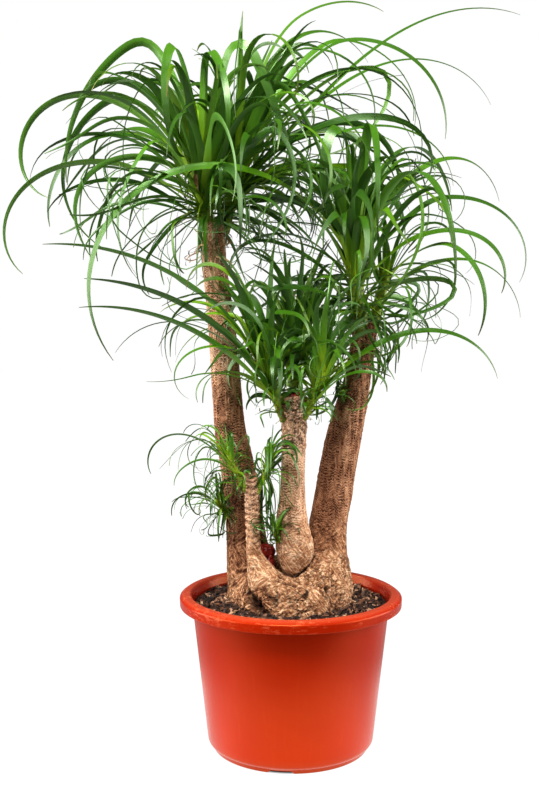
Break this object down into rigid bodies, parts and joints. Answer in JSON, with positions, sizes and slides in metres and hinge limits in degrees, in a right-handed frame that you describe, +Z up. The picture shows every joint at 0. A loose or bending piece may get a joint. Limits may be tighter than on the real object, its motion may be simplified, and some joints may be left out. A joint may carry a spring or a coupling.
{
  "type": "potted ponytail palm",
  "caption": "Young ponytail palm with a swollen base, several trunks and pruned stubs, and arching strap leaves, growing in a round plastic nursery pot.",
  "frame": {"origin": "centre of the whole plant's outline on the surface the pot stands on", "axes": "+Z up, -Y towards the front of the plant, +X to its right seen from the front"},
  "size_m": [0.7551, 0.6573, 1.0579],
  "materials": {
    "pot_plastic": "satin moulded terracotta-coloured plastic",
    "soil_mix": "moist bark and peat crumbs",
    "bark": "rough cracked tan bark",
    "wax": "dull red sealing wax",
    "shoot_green": "smooth yellow-green young stem",
    "leaf_green": "semi-gloss leathery strap leaf"
  },
  "bodies": {
    "root": {"pot": "pot_plastic", "soil": "soil_mix", "caudex": "bark", "trunk_left": "bark", "trunk_right": "bark", "stub_middle": "bark", "stub_front": "bark", "stub_back": "bark", "wax_seal_middle": "wax", "wax_seal_back": "wax", "crown_left": "shoot_green", "crown_top": "shoot_green", "crown_right": "shoot_green", "crown_side": "shoot_green", "shoot_left": "shoot_green", "shoot_right": "shoot_green", "shoot_back": "shoot_green", "sprout_left": "shoot_green", "sprout_right": "shoot_green", "tuft_trunk": "shoot_green", "tuft_cleft": "shoot_green", "leaf_crown_left_1": "leaf_green", "leaf_crown_left_2": "leaf_green", "leaf_crown_left_3": "leaf_green", "leaf_crown_left_4": "leaf_green", "leaf_crown_left_5": "leaf_green", "leaf_crown_left_6": "leaf_green", "leaf_crown_left_7": "leaf_green", "leaf_crown_left_8": "leaf_green", "leaf_crown_left_9": "leaf_green", "leaf_crown_top_1": "leaf_green", "leaf_crown_top_2": "leaf_green", "leaf_crown_top_3": "leaf_green", "leaf_crown_top_4": "leaf_green", "leaf_crown_top_5": "leaf_green", "leaf_crown_top_6": "leaf_green", "leaf_crown_top_7": "leaf_green", "leaf_crown_top_8": "leaf_green", "leaf_crown_top_9": "leaf_green", "leaf_crown_right_1": "leaf_green", "leaf_crown_right_2": "leaf_green", "leaf_crown_right_3": "leaf_green", "leaf_crown_right_4": "leaf_green", "leaf_crown_right_5": "leaf_green", "leaf_crown_right_6": "leaf_green", "leaf_crown_right_7": "leaf_green", "leaf_crown_right_8": "leaf_green", "leaf_crown_right_9": "leaf_green", "leaf_crown_side_1": "leaf_green", "leaf_crown_side_2": "leaf_green", "leaf_shoot_left_1": "leaf_green", "leaf_shoot_left_2": "leaf_green", "leaf_shoot_left_3": "leaf_green", "leaf_shoot_left_4": "leaf_green", "leaf_shoot_right_1": "leaf_green", "leaf_shoot_back_1": "leaf_green", "leaf_sprout_left_1": "leaf_green", "leaf_sprout_right_1": "leaf_green"}
  },
  "joints": []
}
